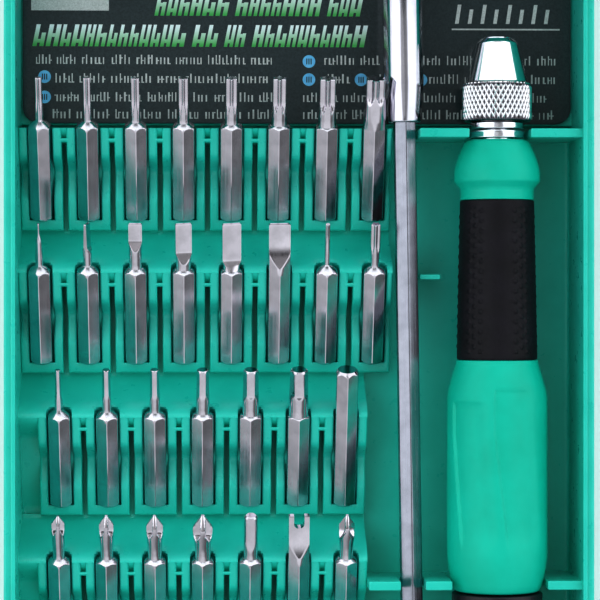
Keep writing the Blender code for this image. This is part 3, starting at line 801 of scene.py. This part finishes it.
SECTOR = (-2.3, 0.0, 2.3, 7.0, 12.5, 18.0, 24.0, 30.0, 36.0, 42.0, 47.5, 53.0)
BIT_ANGLES = [radians(60 * k + offset) for k in range(6) for offset in SECTOR]
FIRST_ROLL, ROLL = -8.0, 3.0  # degrees about a bit's own axis
NECK_MAX = 2.2


def polygon_r(across_flats, sides, a):
    step = 2 * pi / sides
    return across_flats / 2 / cos(a % step - step / 2)


def hex_body_r(a):
    return min(polygon_r(BIT_AF, 6, a), CORNER_R - 0.045)


def star_section(outer, count=6, depth=0.18, back=23.6, neck=None):
    """Round lobes milled into a slightly tapered neck; the flutes run out towards the shoulder."""
    radius = outer / 2
    neck = neck or min(1.9, max(0.75, radius + 0.06))

    def section(a, u):
        body = neck + (radius - neck) * ease((u - SHOULDER - 0.5) / 5.0)
        growth = 1 + 0.6 * ease((back - u) / 2.6)
        flute = radius * (1 - depth + depth * cos(count * a)) * growth
        return min(body, flute)

    return section


def hex_section(across):
    """A flat-topped hexagon that grows out of a round neck, its end chamfered."""
    corner = across / 2 / cos(pi / 6)
    neck = min(1.85, max(0.75, corner + 0.1))

    def section(a, u):
        body = neck + (corner * 0.97 - neck) * ease((u - SHOULDER - 0.2) / 6.0)
        chamfer = corner * 0.8 + (BIT_LENGTH - u) * 0.7
        flats = polygon_r(across, 6, a + pi / 6) * (1 + 0.4 * ease((23.4 - u) / 2.2))
        return min(body, flats, chamfer)

    return section


def wing_section(outer, count, thick, cone):
    """Straight wings between milled flutes, with a conical end when cone is above zero."""
    radius = outer / 2
    neck = min(1.9, radius * 0.55 + 0.45)

    def section(a, u):
        body = neck + (radius - neck) * ease((u - SHOULDER - 1.2) / 4.6)
        if cone:
            body = min(body, radius * 0.16 + (BIT_LENGTH - u) / cone)
        step = 2 * pi / count
        off = abs((a + step / 2) % step - step / 2)
        half = thick * radius * (1 + 2.6 * ease((BIT_LENGTH - 1.9 * radius - u) / 2.4))
        return min(body, max(half / max(sin(min(off, pi / 2)), 1e-3), half * 1.25))

    return section


def triangle_section(across):
    def section(a, u):
        body = min(1.3, 1.0 + (BIT_LENGTH - u) * 0.7)
        return min(body, polygon_r(across, 3, a + pi / 3) * (1 + 0.4 * ease((22.6 - u) / 2.4)))

    return section


def needle_section(a, u):
    shaft = 0.74 - 0.16 * ease((u - SHOULDER) / 5.0)
    return shaft - 0.34 * ease((u - SHOULDER - 4.6) / 1.9)


def as_points(radius_at):
    """Turn a section's radius into its (x, z)."""
    return lambda a, u: (radius_at(a, u) * sin(a), radius_at(a, u) * cos(a))


RUN_OUT = 0.40  # slope of the cuts behind a blade


def slot_points(width, neck, flat_from, twist):
    """A round neck milled flat on two sides by cuts that run out in a slope, turned against the hexagon."""
    half = width / 2
    thin = 0.16 + 0.05 * width
    turn_s, turn_c = sin(radians(twist)), cos(radians(twist))

    def points(a, u):
        half_x = neck + (half - neck) * ease((u - flat_from + 1.8) / 2.2)
        power = 1 - 0.72 * ease((u - flat_from + 1.0) / 1.2)
        s, c = sin(a), cos(a)
        x = half_x * abs(s) ** power * (1 if s >= 0 else -1)
        z = neck * abs(c) ** power * (1 if c >= 0 else -1)
        limit = thin + 0.03 * max(0.0, BIT_LENGTH - u) + RUN_OUT * max(0.0, flat_from - u)
        z = max(-limit, min(limit, z))
        return x * turn_c + z * turn_s, z * turn_c - x * turn_s

    return points


GRIND_START = 19.4
GRIND_LENGTH = 8.0


def wide_blade_points(half, thin):
    """The whole hexagon ground hollow on two sides, so that it thins out to a flat end."""
    def points(a, u):
        r = min(hex_body_r(a), half / max(abs(sin(a)), 1e-3))
        x, z = r * sin(a), r * cos(a)
        t = min(1.0, max(0.0, (u - GRIND_START) / GRIND_LENGTH))
        limit = thin + (CORNER_R - thin) * (1 - t) ** 2
        return x, max(-limit, min(limit, z))

    return points


STARS = (("04", 1.28), ("05", 1.42), ("06", 1.70), ("07", 1.99), ("08", 2.31), ("10", 2.74), ("15", 3.27))
# Slotted bits: width, radius of the neck, where the flat starts, turn against the hexagon in degrees
SLOTS = ((1.5, 0.80, 23.4, 62.0), (2.5, 1.18, 24.6, 0.0), (3.0, 1.40, 22.4, 6.0), (3.5, 1.50, 20.9, 7.0))
HEXES = (0.9, 1.3, 1.5, 2.0, 2.5, 3.0)
CROSSES = (("00", 2.4), ("0", 2.7), ("1", 3.1), ("2", 3.7))


def bit_rows():
    """Names and tip sections of the bits, row by row from the hinge side, left to right."""
    first = [("bit_star_" + n, as_points(star_section(d))) for n, d in STARS]
    first.append(("bit_star_20", as_points(star_section(3.86, depth=0.13, back=24.8, neck=NECK_MAX))))
    second = [("bit_five_point_08", as_points(needle_section))]
    second += [("bit_slot_%02d" % round(10 * slot[0]), slot_points(*slot)) for slot in SLOTS]
    second.append(("bit_slot_40", wide_blade_points(2.0, 0.36)))
    second.append(("bit_five_point_10", as_points(star_section(0.88, 5, 0.10, 26.0, neck=0.5))))
    second.append(("bit_five_point_12", as_points(star_section(1.84, 5, 0.18, 24.0, neck=0.8))))
    third = [("bit_hex_%02d" % round(10 * across), as_points(hex_section(across))) for across in HEXES]
    third.append(("bit_hex_40", None))
    fourth = [("bit_cross_" + n, as_points(wing_section(d, 4, 0.24, 1.55))) for n, d in CROSSES]
    fourth.append(("bit_triangle_20", as_points(triangle_section(2.0))))
    fourth.append(("bit_fork", wide_blade_points(1.9, 0.6)))
    fourth.append(("bit_three_wing_30", as_points(wing_section(3.0, 3, 0.24, 1.7))))
    return [first, second, third, fourth]


SHOULDER_STEEPNESS = (radians(41.0), radians(61.0))  # of the shoulder's arc, at the hexagon and at the neck


def shoulder_arc(neck, steps=10):
    """(radius, u) from the hexagon's corners to the neck, along an arc that gets steeper."""
    first, last = SHOULDER_STEEPNESS
    radius = (CORNER_R - neck) / (cos(first) - cos(last))
    arc = []
    for k in range(steps + 1):
        a = first + (last - first) * k / steps
        arc.append((CORNER_R - radius * (cos(first) - cos(a)), SHOULDER_START + radius * (sin(a) - sin(first))))
    return arc


def bit_rings(section):
    """Rings from the chamfered lower end to the tip; without a section, a plain hexagon."""
    low = [0.0, 0.12, 0.25, 0.4, 0.55, 0.7, 1.0, 6.0, 12.0, 17.9]
    if section is None:
        low += [BIT_LENGTH - 1.4 + 0.14 * k for k in range(11)]
    limits = [(min(1.75 + u * 1.05, 1.7 + (BIT_LENGTH - u) * 0.75), u) for u in low]
    if section is not None:
        neck = min(NECK_MAX, max(sqrt(sum(c * c for c in section(a, SHOULDER))) for a in BIT_ANGLES))
        limits += shoulder_arc(neck + 0.05)
    points = [ring(u, [min(hex_body_r(a), limit) for a in BIT_ANGLES], BIT_ANGLES) for limit, u in limits]
    if section is not None:
        steps = 34
        for k in range(1, steps + 1):
            u = SHOULDER + (BIT_LENGTH - 0.12 - SHOULDER) * k / steps
            points.append([(x, u, z) for x, z in (section(a, u) for a in BIT_ANGLES)])
        points.append([(x * 0.88, BIT_LENGTH, z * 0.88) for x, _, z in points[-1]])
    return points


def make_bits():
    for row, bits in enumerate(bit_rows()):
        for k, (name, section) in enumerate(bits):
            roll = radians(FIRST_ROLL if (row, k) == (0, 0) else random.uniform(-ROLL, ROLL))
            at = (ROW_FIRST_X[row] + BIT_PITCH * k, ROW_1_Y - ROW_PITCH * row, BIT_END_Z)
            turn = Matrix.Rotation(BIT_TILT, 4, "X") @ Matrix.Rotation(roll, 4, "Y")
            bit = make_piece(name + "_fine", *loft(bit_rings(section)), "bit_steel", at, turn, 24.0)
            if name == "bit_fork":
                slot = soft_box((-0.95, 25.55, -3.0), (0.95, 31.0, 3.0), 0.85, 5)
                apply_boolean(bit, [moved(slot, at, turn)], smooth=24.0)
            settle(bit, name, "bit_steel", name)


# Handle

HANDLE_AT = (HANDLE_X, HANDLE_NOSE_Y, TOOL_Z)
NUT_R = 6.45
KNURLS = 44
KNURL_ROWS = 15
KNURL_DEPTH = 0.34
KNURL_LOW, KNURL_HIGH = 9.25, 15.7


def knurl_r(i, j):
    """Radius at step i around and row j: ridges run both ways, every fourth step and row."""
    along_one, along_two = (i + j) % 4, (i - j) % 4
    ridge = max(1 - min(along, 4 - along) / 2 for along in (along_one, along_two))
    edge = 0.2 if j in (0, KNURL_ROWS) else 0.0
    return NUT_R - KNURL_DEPTH * (1 - ridge) - edge


def make_nut():
    """A smooth nose and a band of knurls: diamond pits between two sets of helical ridges."""
    angles = around(KNURLS * 4)
    nose = fillet([(2.9, 0.85), (3.15, 0.6, 0.1), (3.9, 1.4, 0.2), (5.75, 8.7, 0.15), (6.15, 8.9)], 4)
    tail = fillet([(6.2, 15.8), (6.0, 16.0, 0.1), (4.5, 16.0, 0.1), (4.5, 10.0), (3.1, 4.0), (2.9, 0.85)], 3)
    rings = turned(nose, angles)
    first = len(rings)
    for j in range(KNURL_ROWS + 1):
        s = KNURL_LOW + (KNURL_HIGH - KNURL_LOW) * j / KNURL_ROWS
        rings.append(ring(-s, [knurl_r(i, j) for i in range(len(angles))], angles))
    rings += turned(tail[:-1], angles)

    def split(j, i):
        return (i - j + first) % 2 if 0 <= j - first < KNURL_ROWS else None

    add("nut_knurled", loft(rings, True, split), "nut_plated", "chuck", "chuck_nut", at=HANDLE_AT, smooth=20.0)


def hex_tool(y_low, y_high):
    """A cutter for the hexagonal socket of a bit."""
    radii = [polygon_r(SOCKET_AF, 6, a) for a in around(6)]
    return loft([ring(y, radii, around(6)) for y in (y_low, y_high)])


def make_collet():
    profile = fillet([
        (0.6, 0.3), (2.48, 0.3, 0.15), (2.78, 4.2), (4.1, 10.2), (4.1, 16.15, 0.05), (5.05, 16.15, 0.2),
        (5.05, 17.4, 0.2), (2.9, 17.4, 0.1), (2.9, 30.0, 0.3), (0.6, 30.0),
    ], 4)
    collet = make_piece("collet_jaws", *lathe(profile), "collet_steel", HANDLE_AT)
    apply_boolean(collet, [moved(hex_tool(1.0, -SOCKET_DEPTH), HANDLE_AT)])
    slit = soft_box((-0.2, -9.0, 1.0), (0.2, 1.0, 5.0), 0.05)
    apply_boolean(collet, [moved(slit, HANDLE_AT, Matrix.Rotation(a + pi / 6, 4, "Y")) for a in around(3)])
    settle(collet, "handle", "collet_steel", "collet")
    band = fillet([(5.05, 17.7, 0.2), (5.05, 19.1, 0.2), (3.2, 19.1, 0.1), (3.2, 17.7, 0.1)], 4, True)
    add("ferrule_ring", lathe(band, hollow=True), "collet_steel", "handle", "handle_ferrule", at=HANDLE_AT)


RELIEF_FROM = 6.5  # radius of the visible skin of the body
PANEL_DEPTH = 0.42
PANEL_END = 95.5
# Direction in degrees and start of each panel: two in front and two behind, with a narrow rib between
PANELS = ((-6.5, 64.9), (-63.5, 67.3), (173.5, 64.9), (116.5, 67.3))


def panel_relief(r, s, theta):
    """The shallow finger panels; they lean over towards the end cap."""
    if r <= RELIEF_FROM:
        return 0.0
    dent = 0.0
    lean = 0.74 * max(0.0, s - 73.5)
    for turn, start in PANELS:
        off = (theta - radians(turn) + pi) % (2 * pi) - pi
        left = ease((off - radians(lean - 4.0)) / radians(3.0))
        right = ease((radians(lean + 48.0) - off) / radians(18.0))
        dent = max(dent, left * right * ease((s - start) / 1.2) * ease((PANEL_END - s) / 4.0))
    return PANEL_DEPTH * dent


def refine(profile, longest):
    """Split long segments so that relief has points to work on."""
    out = [profile[0]]
    for (r, s), (r_end, s_end) in zip(profile, profile[1:]):
        dr, ds = r_end - r, s_end - s
        count = max(1, int(np.hypot(dr, ds) / longest))
        out += [(r + dr * k / count, s + ds * k / count) for k in range(1, count + 1)]
    return out


def make_handle_body():
    profile = fillet([
        (3.2, 30.4), (3.2, 19.4, 0.1), (5.6, 19.4, 0.35), (6.1, 19.9, 0.5), (6.8, 21.4, 1.0), (7.5, 23.3, 1.2),
        (7.95, 25.0, 1.0), (7.95, 27.1, 0.3), (7.0, 28.2, 0.4), (6.8, 28.7, 0.3), (6.8, 30.5, 0.1), (5.6, 30.5),
        (6.0, 60.1), (7.6, 60.1, 0.2), (7.68, 60.9, 0.5), (8.35, 63.0, 2.0), (9.15, 65.9, 0.8), (9.3, 67.2, 0.8),
        (9.3, 96.5, 1.5), (9.0, 99.0, 1.2), (8.4, 101.6, 1.2), (7.8, 102.9, 0.5), (1.8, 102.9, 0.1), (1.8, 96.0),
    ], 4)
    outer = [(r, s) for r, s in profile if r > RELIEF_FROM and s > 60.5]
    first = profile.index(outer[0])
    profile = profile[:first] + refine(outer, 0.7) + profile[first + len(outer):]
    rings = turned(profile, around(240), panel_relief)
    add("handle_shell", loft(rings), "handle_green", "handle", "handle_body", at=HANDLE_AT)


DOT_R = 0.46
DOT_RISE = 0.17
DOT_PITCH = 1.85
DOT_STEPS = 12
DOT_COLUMNS = [radians(72 * group + offset) for group in range(5) for offset in (21.0, 31.0, 41.0)]


def dot_relief(r, s, a):
    """The grip's raised dots, in staggered columns."""
    if not 31.9 < s < 58.8:
        return 0.0
    lift = 0.0
    for column, centre in enumerate(DOT_COLUMNS):
        aside = ((a - centre + pi) % (2 * pi) - pi) * r
        if abs(aside) <= DOT_R:
            phase = (s - 32.6 - (column % 2) * DOT_PITCH / 2) / DOT_PITCH
            d = np.hypot((phase - round(phase)) * DOT_PITCH, aside) / DOT_R
            lift = max(lift, DOT_RISE * sqrt(max(0.0, 1 - d * d)))
    return -lift


def make_grip():
    """The rubber sleeve: its rings and steps are close together where the dots are."""
    across_dots = {(c + DOT_R * k / 3 / 7.1) % (2 * pi) for c in DOT_COLUMNS for k in range(-3, 4)}
    angles = sorted({round(a, 5) for a in across_dots | set(around(60))})
    stations = [31.4 + DOT_PITCH / DOT_STEPS * k for k in range(int(28.0 / DOT_PITCH * DOT_STEPS))]
    profile = [(6.72, 30.62), (6.85, 30.75)] + [(6.86 + 0.6 * (s - 31.0) / 29.0, s) for s in stations]
    profile += [(7.44, 59.8), (7.32, 60.0), (6.3, 60.0), (5.9, 30.62)]
    rings = turned(profile, angles, dot_relief)
    add("grip_sleeve", loft(rings, True), "grip_rubber", "handle", "handle_grip", at=HANDLE_AT)


def cap_relief(r, s, a):
    """Fine grooves around the cap's side."""
    return 0.12 * max(0.0, cos(40 * a)) if r > 8.1 and 103.8 < s < 107.0 else 0.0


def make_cap():
    profile = fillet([
        (0.5, 96.4), (1.5, 96.4, 0.1), (1.5, 104.2), (2.6, 104.2, 0.1), (2.6, 105.0, 0.1), (0.5, 105.0),
    ], 3)
    stud = lathe(profile, 40)
    add("swivel_stud", stud, "collet_steel", "handle", "swivel_pin", slot="tool_steel", at=HANDLE_AT)
    profile = fillet([
        (0.5, 105.3), (2.9, 105.3), (2.9, 103.9), (1.8, 103.9), (1.8, 103.2, 0.1), (8.4, 103.2, 0.3),
        (8.4, 107.4, 1.0), (7.7, 109.2, 0.8), (6.2, 110.0, 0.6), (4.6, 110.0, 0.3), (4.2, 109.4, 0.3),
        (0.5, 109.2),
    ], 5)
    cap = loft(turned(profile, around(160), cap_relief))
    add("cap_domed", cap, "cap_black", "end_cap", "swivel_cap", at=HANDLE_AT)


# Extension


def make_extension():
    at = (EXTENSION_X, EXTENSION_Y, TOOL_Z)
    turn = Matrix.Rotation(EXTENSION_SKEW, 4, "Z")
    # (y, corner radius) along the shank; its far end is chamfered
    chamfer = ((0.0, 1.55), (0.2, 1.9), (0.45, 2.1), (0.8, SHANK_CORNER_R))
    stations = [(-SHANK_REACH + d, limit) for d, limit in chamfer]
    stations += [(y, SHANK_CORNER_R) for y in (-60.0, -30.0, SHANK_INSET)]
    flats = [polygon_r(SHANK_AF, 6, a) for a in BIT_ANGLES]
    shank = loft([ring(y, [min(r, limit) for r in flats], BIT_ANGLES) for y, limit in stations])
    lean = turn @ Matrix.Rotation(radians(3.0), 4, "Y")
    add("shank_ground", shank, "shank_steel", "extension", "extension_shank", at=at, turn=lean, smooth=24.0)
    profile = fillet([
        (0.5, -SHANK_INSET - GAP), (2.6, -SHANK_INSET - GAP), (2.6, 0.0, 0.1), (3.0, 0.0, 0.25),
        (TUBE_R, -7.0, 1.0), (TUBE_R, 0.5 - TUBE_LENGTH, 0.3), (TUBE_R - 0.4, -TUBE_LENGTH, 0.2),
        (2.7, -TUBE_LENGTH, 0.1), (2.55, 0.5 - TUBE_LENGTH), (0.5, 0.5 - TUBE_LENGTH),
    ], 4)
    tube = make_piece("socket_tube", *lathe(profile), "socket_chrome", at, turn)
    floor_y = TUBE_LENGTH - SOCKET_DEPTH
    apply_boolean(tube, [moved(hex_tool(floor_y, TUBE_LENGTH + 1.0), at, turn)])
    pocket = lathe([(2.0, -floor_y + 3.6), (2.0, -floor_y - 1.0)], 40)
    apply_boolean(tube, [moved(pocket, at, turn)])
    settle(tube, "extension", "socket_chrome", "extension_socket")
    back, front = 3.3 - floor_y, GAP - floor_y
    disc = fillet([(0.4, back), (1.7, back, 0.15), (1.7, front, 0.15), (0.4, front)], 3)
    add("magnet_disc", lathe(disc, 40), "tool_steel", "extension", "socket_magnet", at=at, turn=turn)


# Lid


def make_lid():
    """Drawn closed over the rim's ledge, then opened about its hinge."""
    bottom = LEDGE_Z + GAP
    inner_top = LID_TOP_Z - LID_WALL
    profile = fillet([
        (6.0, inner_top), (LID_WALL, inner_top, 1.0), (LID_WALL, bottom, 0.15), (0.0, bottom, 0.2),
        (0.0, LID_TOP_Z, 1.4), (6.0, LID_TOP_Z),
    ], 7)
    lid = make_piece("lid_shell", *loft([tray_ring(inset, z) for inset, z in profile]), "lid_clear")
    arms = [
        soft_box((x - 3.8, TRAY_HALF_Y - 0.6, HINGE_Z + 0.35), (x + 3.8, HINGE_Y, HINGE_Z + 2.3), 0.15)
        for x in HINGE_STATIONS
    ]
    front = -TRAY_HALF_Y - 1.8
    root = soft_box((-TONGUE_HALF, front, LEDGE_Z + 1.0), (TONGUE_HALF, -TRAY_HALF_Y + 0.6, LEDGE_Z + 4.0), 0.3)
    apply_boolean(lid, arms + [root], "UNION")
    tongue = soft_box((-TONGUE_HALF, front, 12.6), (TONGUE_HALF, -TRAY_HALF_Y - 0.4, LEDGE_Z + 2.0), 0.3)
    half = LID_KNUCKLE / 2
    apply_boolean(lid, [tongue] + [barrel(x - half, x + half, BARREL_R) for x in HINGE_STATIONS], "UNION")
    window = soft_box(
        (-CATCH_HALF - 0.4, -TRAY_HALF_Y - 3.0, CATCH_LOW_Z - 0.4),
        (CATCH_HALF + 0.4, -TRAY_HALF_Y + 0.2, CATCH_HIGH_Z + 0.35), 0.2,
    )
    bores = [barrel(x - half - 1.0, x + half + 1.0, BORE_R) for x in HINGE_STATIONS]
    apply_boolean(lid, [window] + bores)
    hinge = Matrix.Translation(Vector((0.0, HINGE_Y, HINGE_Z)) * MM)
    lid.matrix_world = hinge @ Matrix.Rotation(-LID_OPEN, 4, "X") @ hinge.inverted()
    weigh_normals(lid)
    settle(lid, "lid", "lid_clear", "lid")


# Stage


def make_softbox(name, at, power):
    """A soft light that faces the middle of the case."""
    data = bpy.data.lights.new(name, "AREA")
    data.shape = "RECTANGLE"
    data.size, data.size_y = SOFTBOX_SIZE
    data.energy = power
    obj = new_object(name, data)
    obj.location = at
    obj.rotation_euler = (-Vector(at)).to_track_quat("-Z", "Y").to_euler()


def make_sky():
    """A bright world: dark overhead, dim low down in front and in a gap at the hinge side."""
    world = bpy.data.worlds.new("studio")
    world.use_nodes = True
    tree = world.node_tree
    ranged, combine = partial(range_node, tree), partial(math_node, tree)
    times = partial(combine, "MULTIPLY")
    split = tree.nodes.new("ShaderNodeSeparateXYZ")
    tree.links.new(tree.nodes.new("ShaderNodeTexCoord").outputs["Generated"], split.inputs[0])
    x, y, z = (split.outputs[name] for name in "XYZ")
    ramp = tree.nodes.new("ShaderNodeFloatCurve")
    curve = ramp.mapping.curves[0]
    points = [((height + 1) / 2, level / 2) for height, level in SKY]
    curve.points[0].location = points[0]
    curve.points[1].location = points[-1]
    for point in points[1:-1]:
        curve.points.new(*point)
    for point in curve.points:
        point.handle_type = "VECTOR"
    ramp.mapping.update()
    tree.links.new(ranged(z, -1.0, 1.0, 0.0, 1.0), ramp.inputs["Value"])
    gain = ranged(y, -0.7, 0.6, 0.64, 1.16)
    low = ranged(z, 0.42, 0.58, 1.0, 0.0)
    front = times(ranged(y, -0.5, -0.2, 1.0, 0.0), ranged(x, -0.4, 0.4, 0.30, 0.74))
    ahead = ranged(y, 0.52, 0.62, 0.0, 0.9)
    middle = ranged(combine("ABSOLUTE", x), 0.15, 0.35, 1.0, 0.0)
    shade = times(low, combine("ADD", front, times(ahead, middle)))
    level = times(ramp.outputs[0], times(gain, combine("SUBTRACT", 1.0, shade)))
    level = times(level, 2.0)
    background = tree.nodes["Background"]
    background.inputs["Color"].default_value = SKY_COLOR
    tree.links.new(level, background.inputs["Strength"])
    bpy.context.scene.world = world


def make_stage():
    corners = [(-2000, -2000), (2000, -2000), (2000, 2000), (-2000, 2000)]
    make_piece("floor", *plate(corners, -1.0, -0.02), "floor_pale")
    make_sky()
    make_softbox("softbox_left", (-0.36, 0.0, 0.50), 0.25)
    make_softbox("softbox_right", (0.36, 0.0, 0.50), 0.15)
    camera = bpy.data.cameras.new("camera")
    camera.lens = LENS
    camera.sensor_width = 36.0
    camera.clip_start, camera.clip_end = 0.01, 10.0
    eye = new_object("camera", camera)
    eye.location = EYE
    backward = (eye.location - Vector(AIM)).normalized()
    right = Vector((0.0, 1.0, 0.0)).cross(backward).normalized()
    eye.rotation_euler = Matrix((right, backward.cross(right), backward)).transposed().to_euler()
    bpy.context.scene.camera = eye
    view = bpy.context.scene.view_settings
    view.view_transform = "Standard"
    view.exposure, view.gamma = EXPOSURE, GAMMA


make_case()
make_pins()
for rack_row in range(4):
    make_rack(rack_row)
make_card()
make_bits()
make_nut()
make_collet()
make_handle_body()
make_grip()
make_cap()
make_extension()
make_lid()
make_stage()
